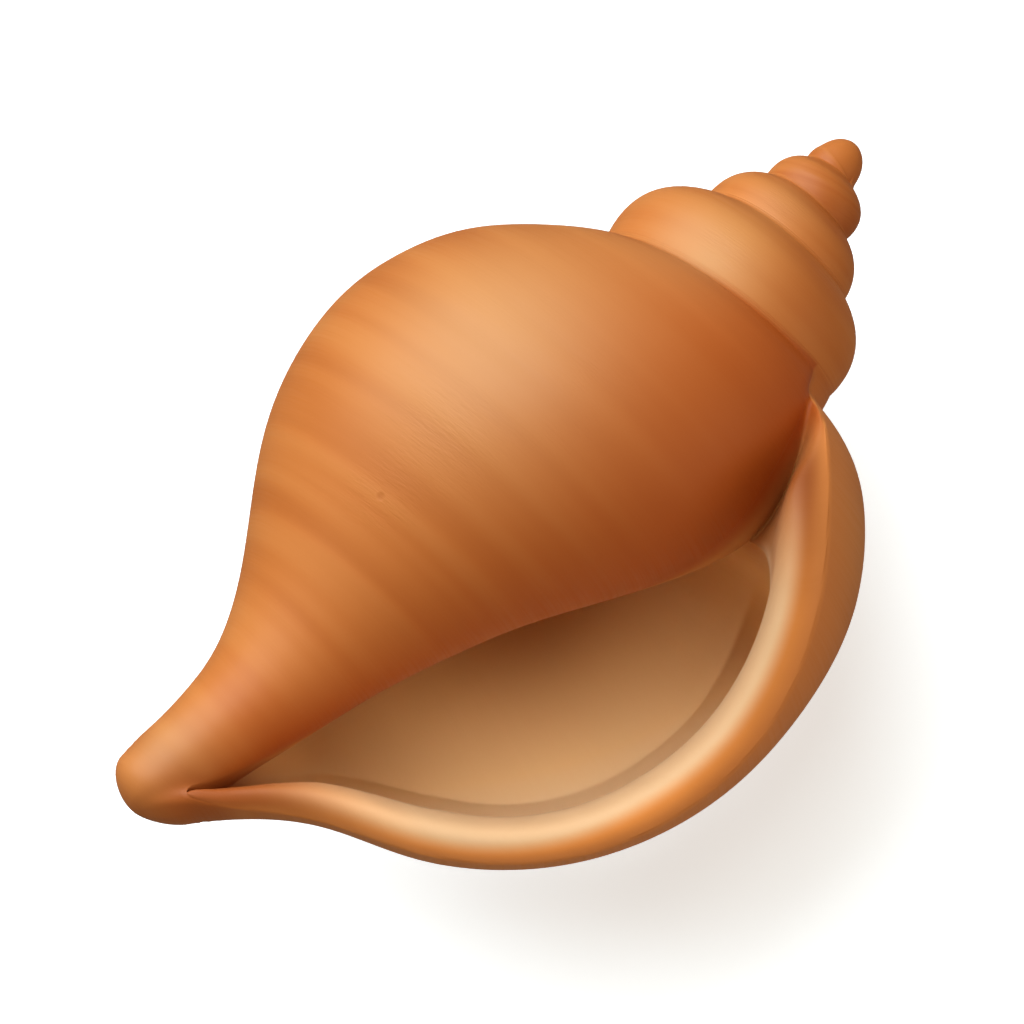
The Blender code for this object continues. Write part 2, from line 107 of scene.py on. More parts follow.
# The last whorl's outline at some turns, from its suture to the groove's end: (height, radius)
GROOVE_END = -40.3
TIP_ROUND = 0.55  # how fully the canal's tip is rounded
TIP_START = 0.985  # where on the outline the slope that the tip goes on with is taken
TIP_SPREAD = 16  # that slope is averaged over this part of a turn to either side
TIP_LEAST = 0.3  # the least and most that the tip narrows to before it closes
TIP_MOST = 1.1
OUTLINES = {
    -1.628: [
        (33.2, 8.5), (30.5, 12.0), (26.5, 13.5), (22.0, 13.4), (16.0, 12.0), (10.0, 9.6), (3.0, 7.4),
        (-4.0, 6.0), (-12.0, 5.2), (-21.0, 4.8), (-30.0, 4.4), (-37.0, 4.2), (GROOVE_END, 4.2),
    ],
    -1.128: [
        (28.2, 11.8), (26.0, 13.4), (22.4, 14.6), (17.3, 15.5), (11.0, 15.0), (3.7, 12.0), (-3.7, 8.3),
        (-10.0, 6.2), (-18.2, 5.5), (-26.4, 5.5), (-33.0, 4.9), (-37.5, 4.4), (GROOVE_END, 4.3),
    ],
    -0.878: [
        (25.8, 12.6), (23.9, 15.2), (19.0, 17.9), (13.0, 19.6), (5.5, 19.8), (-2.0, 17.6), (-9.0, 14.0),
        (-15.5, 10.6), (-22.5, 7.4), (-29.0, 5.4), (-34.5, 4.5), (-38.0, 4.3), (GROOVE_END, 4.3),
    ],
    -0.628: [
        (23.6, 12.7), (21.6, 16.2), (16.4, 21.7), (10.0, 24.8), (2.7, 25.5), (-5.5, 23.1), (-12.8, 18.1),
        (-20.0, 11.1), (-26.4, 6.3), (-31.5, 4.6), (-35.5, 4.1), (-38.5, 4.1), (GROOVE_END, 4.0),
    ],
    -0.378: [
        (24.4, 13.3), (22.9, 17.8), (19.5, 23.4), (13.8, 27.7), (6.0, 29.4), (-3.3, 28.0), (-11.8, 24.0),
        (-19.5, 18.6), (-26.0, 12.4), (-31.0, 7.6), (-35.0, 5.4), (-38.2, 4.7), (GROOVE_END, 4.5),
    ],
    -0.128: [
        (26.3, 12.3), (25.3, 17.0), (22.6, 21.3), (17.3, 25.7), (10.0, 29.0), (0.0, 30.9), (-9.1, 30.7),
        (-17.3, 28.8), (-23.7, 25.2), (-28.6, 19.6), (-32.3, 12.5), (-37.0, 7.25), (GROOVE_END, 4.6),
    ],
    0.0: [
        (25.0, 12.8), (24.1, 16.2), (21.4, 20.4), (16.6, 25.0), (9.6, 28.9), (0.0, 31.2), (-9.2, 31.3),
        (-17.5, 29.4), (-24.0, 25.6), (-28.9, 19.7), (-32.8, 12.3), (-37.4, 6.8), (GROOVE_END, 4.6),
    ],
    0.15: [
        (24.4, 12.9), (23.6, 15.8), (21.0, 20.0), (16.0, 24.8), (9.0, 29.0), (-0.3, 31.8), (-9.4, 32.2),
        (-17.7, 30.0), (-24.4, 25.8), (-29.2, 19.8), (-33.0, 12.0), (-37.6, 6.6), (GROOVE_END, 4.2),
    ],
}

# The lip, from the outer skin over the crest to the inner rim: (inward, forward)
LIP_EDGE = [
    (0.0, 0.0), (0.4, 0.95), (0.95, 1.7), (1.65, 2.2), (2.5, 2.3), (3.4, 1.8), (4.3, 0.8),
    (4.95, -0.3), (5.3, -1.6),
]
# How much of that the lip has at a height, since it thins out towards the canal's end
LIP_SHARE = [
    (-44.0, 0.25), (-39.0, 0.30), (-36.0, 0.50), (-33.0, 0.75), (-28.0, 0.95), (-20.0, 1.0), (26.0, 1.0),
]
CREST_TOP = 26.0  # the crest dies out below this height, next to the suture
CREST_RUN = 12.0
LEAST_RADIUS = 4.0  # the crest's angle is measured at no smaller radius
SLOT = 0.8  # the narrowest the groove gets
SLOT_SHARE = 0.5  # and no more than this share of the room there is

# The hollow at some depths behind the lip, in turns: (depth, top height, bottom height, wall)
HOLLOW = [
    (0.0, 12.8, -40.2, 5.3), (0.03, 13.2, -39.0, 4.6), (0.10, 14.0, -35.0, 3.0), (0.20, 14.5, -28.5, 2.4),
    (0.35, 14.5, -22.0, 2.4), (0.50, 13.5, -17.0, 2.6),
]
CORNER = 5.0  # the rounding of the hollow's upper corner
CORNER_GROWTH = 0.7  # how it grows over the lip
END_CORNER = 3.0  # the rounding at the groove's end
THROAT_SPACING = 1.25  # the facets get longer towards the deepest part
INNER_DEPTH = 0.075  # how far in the rim lies on the inner side, in turns

# How it lies: the back rests on the floor, leaning a little towards the lip
REST_LEAN = math.radians(14.6)
REST_HEIGHT = 28.9  # from the upright axis to the worn flat that it rests on
MIDDLE_X = 1.9
MIDDLE_Y = -3.9


def spline(points, at):
    """Natural cubic curve through points, a list of (place, value, ...), at the places asked."""
    table = np.array(sorted(points), float)
    x = table[:, 0]
    y = table[:, 1:]
    count = len(x)
    gap = np.diff(x)
    slope = np.diff(y, axis=0) / gap[:, None]
    matrix = np.eye(count)
    right = np.zeros_like(y)
    for i in range(1, count - 1):
        matrix[i, i - 1:i + 2] = gap[i - 1], 2 * (gap[i - 1] + gap[i]), gap[i]
        right[i] = 6 * (slope[i] - slope[i - 1])
    bend = np.linalg.solve(matrix, right)
    at = np.asarray(at, float)
    k = np.clip(np.searchsorted(x, at) - 1, 0, count - 2)
    near = (at - x[k])[..., None]
    far = (x[k + 1] - at)[..., None]
    width = gap[k][..., None]
    curve = (bend[k] * far ** 3 + bend[k + 1] * near ** 3) / (6 * width)
    curve += (y[k] / width - bend[k] * width / 6) * far
    curve += (y[k + 1] / width - bend[k + 1] * width / 6) * near
    return curve[..., 0] if y.shape[1] == 1 else curve


def line(points, at):
    """Straight interpolation through points, a list of (place, value)."""
    table = np.array(sorted(points), float)
    return np.interp(at, table[:, 0], table[:, 1])


def measured(points):
    """The outline through points, sampled evenly along its length."""
    places = np.linspace(0, 1, len(points))
    dense = spline([(p, *point) for p, point in zip(places, points)], np.linspace(0, 1, 8 * SAMPLES))
    run = np.concatenate([[0], np.cumsum(np.linalg.norm(np.diff(dense, axis=0), axis=1))])
    even = np.linspace(0, run[-1], SAMPLES)
    return np.stack([np.interp(even, run, dense[:, 0]), np.interp(even, run, dense[:, 1])], axis=1)


SKIN_TABLE = [(turn, *measured(points).ravel()) for turn, points in OUTLINES.items()]


def skin(turn, share):
    """(height, radius) of the last whorl at a turn, share 0 at its suture and 1 at the groove's end."""
    turn, share = np.broadcast_arrays(np.asarray(turn, float), np.asarray(share, float))
    flat_turn = turn.ravel()
    step = np.clip(share.ravel(), 0, 1) * (SAMPLES - 1)
    low = np.minimum(step.astype(int), SAMPLES - 2)
    part = (step - low)[:, None]
    found = np.empty((len(low), 2))
    for start in range(0, len(low), AT_ONCE):
        some = slice(start, start + AT_ONCE)
        table = spline(SKIN_TABLE, flat_turn[some]).reshape(-1, SAMPLES, 2)
        which = np.arange(len(table))
        found[some] = table[which, low[some]] * (1 - part[some]) + table[which, low[some] + 1] * part[some]
    return found[:, 0].reshape(turn.shape), found[:, 1].reshape(turn.shape)


def edge_shift(turn, height):
    """How far the mouth's edge runs ahead of turn 0, or of turn -1 on the body, in turns."""
    body = spline(BODY_ANGLE, height)
    angle = body + (spline(LIP_ANGLE, height) - body) * smooth((turn - LIP_SIDE_FROM) / LIP_SIDE_OVER)
    return (LIP_TOP_ANGLE - angle) / 360


def place(turn, height, radius):
    """The upright point at a true turn, a height and a distance from the centre line."""
    angle = math.radians(LIP_TOP_ANGLE) - 2 * math.pi * turn
    across = spline(CENTRE_LINE, height)
    x = across + radius * np.sin(angle)
    y = -radius * np.cos(angle)
    return np.stack(np.broadcast_arrays(x, y, height), axis=-1)


def strip(turn, share):
    """(turn, height, radius) on a whorl, its turn counted from the lip's edge."""
    height = skin(turn, share)[0]
    true_turn = turn + edge_shift(turn, height) * np.clip(share * SHIFT_START, 0, 1)
    height, radius = skin(true_turn, share)
    return true_turn, height, radius


def suture(turn):
    """(height, radius) of the suture."""
    found = spline(SUTURE, turn)
    return found[..., 0], found[..., 1]


def smooth(t):
    """0 to 1 with a gentle start and end."""
    t = np.clip(t, 0, 1)
    return t * t * (3 - 2 * t)


WHOLE_LENGTH = 95.0  # along the last whorl's outline, which the spire's marks are measured against
TIP_BAND = 0.06  # how much the canal's tip adds to that, as a share of it
EDGE_WIDTH = 0.12  # how far the paler strip reaches back from the lip, in turns
GLAZE_AND_SHADE_WIDTH = 0.34  # how far the darker glaze and painted shade spread over the body beside the mouth, in turns
TOP_BLEND = 0.10  # how much of the lip, next to the suture, turns gradually into the inner side


def spire_points():
    """Points and how far each lies from the suture [column, row], from the first turn to turn -1."""
    turns = np.arange(round((-1 - FIRST_TURN) * COLUMNS)) / COLUMNS + FIRST_TURN
    turns = turns[:, None]
    t = np.linspace(0, 1, SPIRE_ROWS + 1)[None, :]
    top_height, top_radius = suture(turns)
    low_height, low_radius = suture(np.minimum(turns + 1, 0))
    down = low_height - top_height
    out = low_radius - top_radius
    stand = 4 * t * (1 - t) * line(BULGE, turns)
    height = top_height + t * down + stand * out
    radius = top_radius + t * out - stand * down
    size = WHOLE_LENGTH * top_radius / suture(-1.0)[1]
    return place(turns + 0 * t, height, radius), t * np.hypot(down, out) / size


def last_whorl_shares():
    """Share of the way down the last whorl [column, row], from turn -1 round to the lip."""
    height = skin(-1.0, np.linspace(0, 1, SAMPLES))[0]
    corner = np.interp(-suture(0.0)[0], -height, np.linspace(0, 1, SAMPLES))
    start = np.concatenate([
        np.linspace(0, corner, SPIRE_ROWS + 1), np.linspace(corner, 1, MOUTH_ROWS - SPIRE_ROWS + 1)[1:],
    ])
    end = np.linspace(0, 1, MOUTH_ROWS + 1)
    mix = smooth(np.linspace(0, 1, COLUMNS + 1))[:, None]
    return (1 - mix) * start + mix * end


def tip_points():
    """Points [column, row] over the round tip of the canal, below the groove's end."""
    turns = np.linspace(-1, 0, COLUMNS + 1)[:-1, None]
    true_turn, height, radius = strip(turns, np.ones((COLUMNS, 1)))
    before, wide = skin(true_turn, TIP_START)
    shrink = (wide - radius) / (before - height)
    reach = COLUMNS // TIP_SPREAD
    shrink = np.mean([np.roll(shrink, k, axis=0) for k in range(-reach, reach + 1)], axis=0)
    corner = np.clip(radius - shrink * (height - TIP_HEIGHT), TIP_LEAST * radius, TIP_MOST * radius)
    t = np.linspace(0, 1, TIP_ROWS + 1)[1:-1]
    start, leave, arrive = (1 - t) ** 3, 3 * t * (1 - t) ** 2, 3 * t * t * (1 - t)
    drop = TIP_ROUND * leave + arrive + t ** 3
    out = start * radius + leave * (radius + TIP_ROUND * (corner - radius))
    out += arrive * (1 - TIP_ROUND) * corner
    return place(true_turn + 0 * t, height + (TIP_HEIGHT - height) * drop, out)


def resample(points, count):
    """count + 1 points spread evenly along a line of points."""
    run = np.concatenate([[0], np.cumsum(np.linalg.norm(np.diff(points, axis=0), axis=1))])
    even = np.linspace(0, run[-1], count + 1)
    return np.stack([np.interp(even, run, points[:, k]) for k in range(3)], axis=1)


def mouth_ring(inward, forward, depth, inner_depth, top, bottom, corner):
    """One ring of points inside the mouth: down the lip's side, then back up the inner side."""
    shares = np.linspace(0, 1, 4 * SAMPLES)
    inner_turn, inner_height, inner_radius = strip(-1 - inner_depth, shares)
    order = np.argsort(inner_height)

    def inner(height):
        turn = np.interp(height, inner_height[order], inner_turn[order])
        return turn + 1, np.interp(height, inner_height[order], inner_radius[order])

    turn, height, radius = strip(-depth, shares)
    along = np.stack([np.gradient(height), np.gradient(radius)])
    along /= np.linalg.norm(along, axis=0)
    thick = inward * line(LIP_SHARE, height)
    gap = np.maximum(radius - inner(height)[1], 0)
    height = height - thick * along[1]
    radius = radius + thick * along[0]
    ahead = forward * smooth((CREST_TOP - height) / CREST_RUN) * line(LIP_SHARE, height)
    turn = turn + ahead / (2 * math.pi * np.maximum(radius, LEAST_RADIUS))
    keep = (height < top) & (height > bottom)
    turn, height, radius, gap = turn[keep], height[keep], radius[keep], gap[keep]
    inner_side, floor = inner(height)
    round_top = np.sqrt(1 - (1 - np.clip((top - height) / corner, 0, 1)) ** 2)
    round_end = np.sqrt(1 - (1 - np.clip((height - bottom) / END_CORNER, 0, 1)) ** 2)
    open_share = round_top * round_end
    radius = floor + np.maximum(radius - floor, np.minimum(SLOT, SLOT_SHARE * gap)) * open_share
    turn = inner_side + (turn - inner_side) * open_share
    ends = [(*inner(np.array(h)), h) for h in (top, bottom)]
    lip = place(
        np.concatenate([[ends[0][0]], turn, [ends[1][0]]]),
        np.concatenate([[top], height, [bottom]]),
        np.concatenate([[ends[0][1]], radius, [ends[1][1]]]),
    )
    heights = np.linspace(top, bottom, 4 * SAMPLES)
    side, deep = inner(heights)
    wall = place(side, heights, deep)
    inner_rows = MOUTH_ROWS - SPIRE_ROWS
    return np.concatenate([resample(lip, MOUTH_ROWS)[:-1], resample(wall, inner_rows)[:0:-1]])


def mouth_rings():
    """(how far over the lip, points) of every ring inside the mouth: 0 outside, 1 at the rim, 2 deepest."""
    rings = []
    suture_height = float(suture(0.0)[0])
    profile = spline([(k, *point) for k, point in enumerate(LIP_EDGE)],
                     np.linspace(0, len(LIP_EDGE) - 1, EDGE_RINGS + 1))
    for k in range(1, EDGE_RINGS + 1):
        t = k / EDGE_RINGS
        top = suture_height + (HOLLOW[0][1] - suture_height) * t
        bottom = GROOVE_END + (HOLLOW[0][2] - GROOVE_END) * t
        inward, forward = profile[k]
        corner = CORNER * t ** CORNER_GROWTH
        rings.append((t, mouth_ring(inward, forward, 0.0, INNER_DEPTH * t, top, bottom, corner)))
    for k in range(1, THROAT_RINGS + 1):
        depth = HOLLOW[-1][0] * (k / THROAT_RINGS) ** THROAT_SPACING
        top, bottom, wall = (line([(row[0], row[n]) for row in HOLLOW], depth) for n in (1, 2, 3))
        share = depth / HOLLOW[-1][0]
        inner_depth = INNER_DEPTH + (HOLLOW[-1][0] - INNER_DEPTH) * share
        ring = mouth_ring(wall, LIP_EDGE[-1][1], depth, inner_depth, top, bottom, CORNER)
        rings.append((1 + share, ring))
    return rings


def dome_rings():
    """Points of each ring over the first whorl, and the apex."""
    turns = np.arange(COLUMNS) / COLUMNS + FIRST_TURN
    height, radius = suture(turns)
    start = np.radians(spline(DOME_START, turns))
    widest = radius / np.cos(start)
    middle = (height - APEX_HEIGHT * np.sin(start)) / (1 - np.sin(start))
    rings = []
    for k in range(1, DOME_ROWS):
        rise = start + (math.pi / 2 - start) * k / DOME_ROWS
        rings.append(place(turns, middle + (APEX_HEIGHT - middle) * np.sin(rise), widest * np.cos(rise)))
    across = float(spline(CENTRE_LINE, APEX_HEIGHT))
    return rings, np.array([across, 0.0, APEX_HEIGHT])


MARKS = ("band", "mouth", "side", "glaze", "edge")


class Skin:
    """Collects the shell's points, what each one is marked with, and its faces."""

    def __init__(self):
        self.points = []
        self.marks = []
        self.faces = []

    def add(self, points, band=0.0, mouth=0.0, side=0.0, glaze=0.0, edge=0.0):
        """New points. band: distance from the suture, mouth: how far into it, side: 1 on the inner side,
        glaze: 1 on the body beside the mouth, for darker glaze and painted shade, edge: 1 along the lip."""
        points = np.asarray(points, float).reshape(-1, 3)
        first = len(self.points)
        self.points.extend(points)
        marks = np.broadcast_arrays(band, mouth, side, glaze, edge, np.zeros(len(points)))
        self.marks.extend(np.stack(marks, axis=1))
        return list(range(first, len(self.points)))

    def between(self, left, right):
        """Faces between two rows of points, leaving out those that close to a line."""
        for i in range(len(left) - 1):
            corners = [left[i], right[i], right[i + 1], left[i + 1]]
            kept = [c for k, c in enumerate(corners) if c != corners[k - 1]]
            if len(set(kept)) > 2:
                self.faces.append(kept)


def outer_skin(shell):
    """The spire, the last whorl, the canal's tip and the apex. Returns the loop round the mouth."""
    spire, spire_band = spire_points()
    shares = last_whorl_shares()
    last = place(*strip(np.linspace(-1, 0, COLUMNS + 1)[:, None], shares))
    above = len(spire)
    end = above + COLUMNS
    grid = {c: shell.add(spire[c, :-1], spire_band[c, :-1]) + [None] for c in range(above)}
    round_whorl = np.linspace(0, 1, COLUMNS + 1)
    # The glaze mark: darker glaze and painted shade on the body beside the mouth
    glaze = 1 - smooth(round_whorl / GLAZE_AND_SHADE_WIDTH)
    edge = smooth((round_whorl - 1) / EDGE_WIDTH + 1)
    for c in range(COLUMNS + 1):
        grid[above + c] = shell.add(last[c], shares[c], glaze=glaze[c], edge=edge[c])
    grid[0] = [grid[0][0]] * (SPIRE_ROWS + 1)
    grid[COLUMNS][0] = grid[0][0]
    grid[end][0] = grid[above][SPIRE_ROWS]
    grid[end][MOUTH_ROWS] = grid[above][MOUTH_ROWS]
    for c in range(1, above):
        grid[c][-1] = grid[c + COLUMNS][0]
    for c in range(above - 1):
        shell.between(grid[c], grid[c + 1])
    shell.between(grid[above - 1], grid[above][:SPIRE_ROWS + 1])
    for c in range(above, end):
        shell.between(grid[c], grid[c + 1])
    tip = tip_points()
    pole = shell.add([[float(spline(CENTRE_LINE, TIP_HEIGHT)), 0.0, TIP_HEIGHT]], 1 + TIP_BAND)
    tip_band = 1 + TIP_BAND * np.arange(1, TIP_ROWS) / TIP_ROWS
    ends = [[grid[above + c][MOUTH_ROWS]] + shell.add(tip[c], tip_band) + pole for c in range(COLUMNS)]
    for c in range(COLUMNS):
        shell.between(ends[c], ends[(c + 1) % COLUMNS])
    dome, apex = dome_rings()
    rings = [[grid[c][0] for c in range(COLUMNS)]] + [shell.add(ring) for ring in dome]
    rings.append(shell.add([apex]) * COLUMNS)
    for lower, upper in zip(rings, rings[1:]):
        shell.between(upper + upper[:1], lower + lower[:1])
    return grid[end][:-1] + grid[above][:SPIRE_ROWS:-1]


def inner_skin(shell, loop):
    """The rounded lip and the lining of the hollow, from the loop round the mouth inwards."""
    rows = np.arange(len(loop))
    down = np.clip(rows / MOUTH_ROWS, 0, 1)
    inner_side = np.where(rows >= MOUTH_ROWS, 1.0, 1 - smooth(rows / (TOP_BLEND * MOUTH_ROWS)))
    for mouth, ring in mouth_rings():
        inside = shell.add(ring, down, mouth, inner_side, inner_side, 1 - inner_side)
        shell.between(loop + loop[:1], inside + inside[:1])
        loop = inside
    middle = shell.add([np.mean([shell.points[p] for p in loop], axis=0)], 0.5, 2.0, 0.5) * len(loop)
    shell.between(loop + loop[:1], middle + middle[:1])


def laid_down(points):
    """Upright points turned onto the table, resting on the small flat, in metres."""
    up = -points[:, 0] * math.sin(REST_LEAN) - points[:, 1] * math.cos(REST_LEAN)
    aside = -points[:, 0] * math.cos(REST_LEAN) + points[:, 1] * math.sin(REST_LEAN)
    up = np.maximum(up + REST_HEIGHT, 0)
    return np.stack([points[:, 2] - MIDDLE_X, aside - MIDDLE_Y, up], axis=1) * MM


WORN = [  # where the skin is worn smooth: (upright middle, reach, rounds)
    ((-4.2, -4.0, -42.0), 7.0, 40),  # the canal's tip
    ((-0.6, 0.0, 44.5), 5.0, 12),  # the apex
    ((11.0, -9.5, 24.0), 5.5, 14),  # the lip's top
    ((-3.4, -4.2, -39.6), 3.0, 16),  # the groove's end
]


def wear_smooth(whole, upright):
    """Rounds off small edges of the grown skin, most in the middle of each worn place."""
    whole.verts.ensure_lookup_table()
    for middle, reach, rounds in WORN:
        away = np.linalg.norm(upright - np.array(middle), axis=1)
        steps = np.where(away < reach, 1 - smooth(away / reach), 0.0) * rounds
        for k in range(rounds):
            worn = [whole.verts[i] for i in np.nonzero(steps > k)[0]]
            bmesh.ops.smooth_vert(whole, verts=worn, factor=0.5, use_axis_x=True, use_axis_y=True,
                                  use_axis_z=True)


def shell_object(material):
    """The whole skin as one piece, laid down on the table."""
    shell = Skin()
    inner_skin(shell, outer_skin(shell))
    used = sorted({p for face in shell.faces for p in face})
    number = {p: k for k, p in enumerate(used)}
    upright = np.array(shell.points)[used]
    points = laid_down(upright)
    marks = np.array(shell.marks)[used]
    mesh = bpy.data.meshes.new("shell_skin")
    mesh.from_pydata(points.tolist(), [], [[number[p] for p in face] for face in shell.faces])
    for k, name in enumerate(MARKS):
        mark = mesh.attributes.new(name, "FLOAT", "POINT")
        mark.data.foreach_set("value", marks[:, k].astype(np.float32))
    whole = bmesh.new()
    whole.from_mesh(mesh)
    wear_smooth(whole, upright)
    bmesh.ops.recalc_face_normals(whole, faces=whole.faces)
    whole.to_mesh(mesh)
    whole.free()
    mesh.shade_smooth()
    mesh.materials.append(material)
    skin_object = bpy.data.objects.new("shell_skin", mesh)
    bpy.context.scene.collection.objects.link(skin_object)
    return skin_object


class Nodes:
    """Short ways to add and join shader nodes in one tree."""

    def __init__(self, tree):
        self.tree = tree

    def set(self, node, inputs):
        for key, value in inputs.items():
            socket = node.inputs[key]
            if isinstance(value, bpy.types.NodeSocket):
                self.tree.links.new(value, socket)
            else:
                socket.default_value = value
        return node

    def new(self, kind, inputs=None, **settings):
        node = self.tree.nodes.new("ShaderNode" + kind)
        for key, value in settings.items():
            setattr(node, key, value)
        return self.set(node, inputs or {})

    def mark(self, name):
        return self.new("Attribute", attribute_name=name).outputs["Fac"]

    def math(self, operation, a, b=0.0, clamp=False):
        return self.new("Math", {0: a, 1: b}, operation=operation, use_clamp=clamp).outputs[0]

    def fade(self, value, start, end, low=0.0, high=1.0):
        """value mapped smoothly from start..end to low..high."""
        node = self.new("MapRange", {"Value": value, "From Min": start, "From Max": end, "To Min": low,
                                     "To Max": high}, interpolation_type="SMOOTHSTEP")
        return node.outputs["Result"]

    def mix(self, share, a, b):
        node = self.new("Mix", data_type="RGBA")
        self.set(node, {0: share, 6: a, 7: b})
        return node.outputs[2]

    def paint(self, share, under, colour):
        """One plain colour laid over another by a share."""
        return self.mix(share, under, (*colour, 1.0))

    def ramp(self, value, stops):
        node = self.new("ValToRGB", {"Fac": value})
        points = node.color_ramp.elements
        while len(points) < len(stops):
            points.new(0.5)
        for point, (at, colour) in zip(points, stops):
            point.position = at
            point.color = (*colour, 1.0)
        return node.outputs["Color"]

    def near(self, where, middle, reach, least=0.0):
        """1 at a place on the shell, fading to 0 at a distance from it, in metres."""
        away = self.new("VectorMath", {0: where, 1: middle}, operation="DISTANCE").outputs["Value"]
        return self.fade(away, reach, least)

    def noise(self, vector, scale, detail=2.0, rough=0.5):
        return self.new("TexNoise", {"Vector": vector, "Scale": scale, "Detail": detail,
                                     "Roughness": rough}).outputs["Fac"]


# The outer skin's colours
ORANGE = (0.54, 0.180, 0.037)
LIGHT_BAND = (0.58, 0.212, 0.050)
DARK_BAND = (0.48, 0.146, 0.026)
STREAK = (0.40, 0.11, 0.020)
# Paler colour painted as highlight where light falls brightest, and as painted light on the lip's shaded
# side
PAINTED_LIGHT_PALE = (0.59, 0.316, 0.118)
# Darker glaze on the body beside the mouth, partly painted shade on its underside that faces away from the
# light
GLAZE_AND_SHADE = (0.42, 0.088, 0.009)
SHADED = (0.36, 0.092, 0.013)
# The lip's paler outer side, lightened further as painted light where it faces away from the light
LIP_SIDE = (0.70, 0.262, 0.070)

# The lip's crest, from the canal up to the suture, and the mouth's lining
# Painted shade on the crest along the canal, where the lip faces down away from the light
CANAL_SHADE = (0.16, 0.042, 0.008)
# The crest's orange, lightened as painted light where it faces outward into shade
RIDGE = (0.78, 0.29, 0.060)
RIDGE_ABOVE = (0.58, 0.205, 0.038)
# Painted shade at the lip's top, in the valley between lip and body
LIP_TOP_SHADE = (0.28, 0.072, 0.009)
CREAM = (0.58, 0.38, 0.205)
# The lining from its rim inwards, darkening with painted shade deeper in; the body's side in the mouth has
# the same painted shade
INSIDE_LIGHT = (0.97, 0.76, 0.48)
INSIDE_MIDDLE = (0.88, 0.55, 0.245)
INSIDE_SHADE = (0.53, 0.215, 0.060)

# Where those colours change along the shell as it lies, in metres from its middle: (from, to)
GLAZE_AND_SHADE_ENDS = (-0.0415, -0.030)
CANAL_SHADE_ENDS = (-0.041, -0.028)
CREAM_STARTS = (-0.038, -0.027)
CREAM_WIDENS = (-0.012, -0.028)
CREAM_STOPS = (0.0155, 0.0045)
GROOVE_DARKENS = (-0.030, -0.040)
RIDGE_DARKENS = (-0.016, 0.002)
TOP_DARKENS = (0.005, 0.016)

# And over the lip into the mouth: 0 outside, 1 at the rim, 2 deepest
CREST_OVER = (0.0, 0.35)
CREAM_OVER = (0.34, 0.60)
LINING_OVER = (0.92, 1.08)
DEPTH_OVER = (1.0, 1.6)
BODY_SIDE_OVER = (0.0, 0.5)
MOUTH_OVER = (0.0, 0.3)
CREAM_SHIFT = (0.09, 0.22)  # how much farther out the cream starts, at the lip's side and at the canal

# The spiral marks: how many cross the whorl and how many follow it in a metre
BROAD_BANDS = (21.0, 16.0)
FINE_STREAKS = (300.0, 120.0)
WRINKLE_LINES = (270.0, 620.0)
PATCH_SCALE = 70.0
CLOUD_SCALE = 38.0
GRAIN_SCALE = 2600.0

# Where paler colour is painted on, as painted highlight on the crowns of the whorls and at the canal's tip
# where light falls brightest, and as painted light on the lip's shaded outer side: (place, reach, share),
# and where the skin is finely wrinkled: (place, reach)
PAINTED_LIGHT_SPOTS = [
    ((0.0058, 0.0080, 0.0494), 0.021, 0.85),
    ((-0.0395, 0.0082, 0.0345), 0.007, 0.6),
    ((0.0150, -0.0225, 0.0350), 0.013, 0.6),
    ((0.0245, 0.0035, 0.0410), 0.010, 0.7),
    ((0.0347, 0.0033, 0.0360), 0.006, 0.4),
    ((0.0235, 0.0032, 0.0408), 0.003, 0.5),
]
WRINKLED = [
    ((-0.0048, 0.0065, 0.0478), 0.008),
    ((-0.0116, 0.0082, 0.0445), 0.005),
    ((0.0062, -0.0002, 0.0488), 0.007),
    ((0.0259, 0.0030, 0.0413), 0.004),
    ((0.0347, 0.0033, 0.0360), 0.003),
]
PIT = (-0.01157, 0.0082, 0.04446)
PIT_SIZE = (0.0005, 0.0001)  # how far it reaches, and how much of that is its bottom

# Where shade is painted on the outer skin, on the sides of the spire and a whorl that face away from the
# light and at the groove's end: (place, reach, share)
PAINTED_SHADE_SPOTS = [
    ((0.0383, 0.0008, 0.0322), 0.010, 0.7),
    ((0.0290, -0.0050, 0.0375), 0.009, 0.6),
    ((-0.0414, 0.0038, 0.0332), 0.007, 0.95),
]


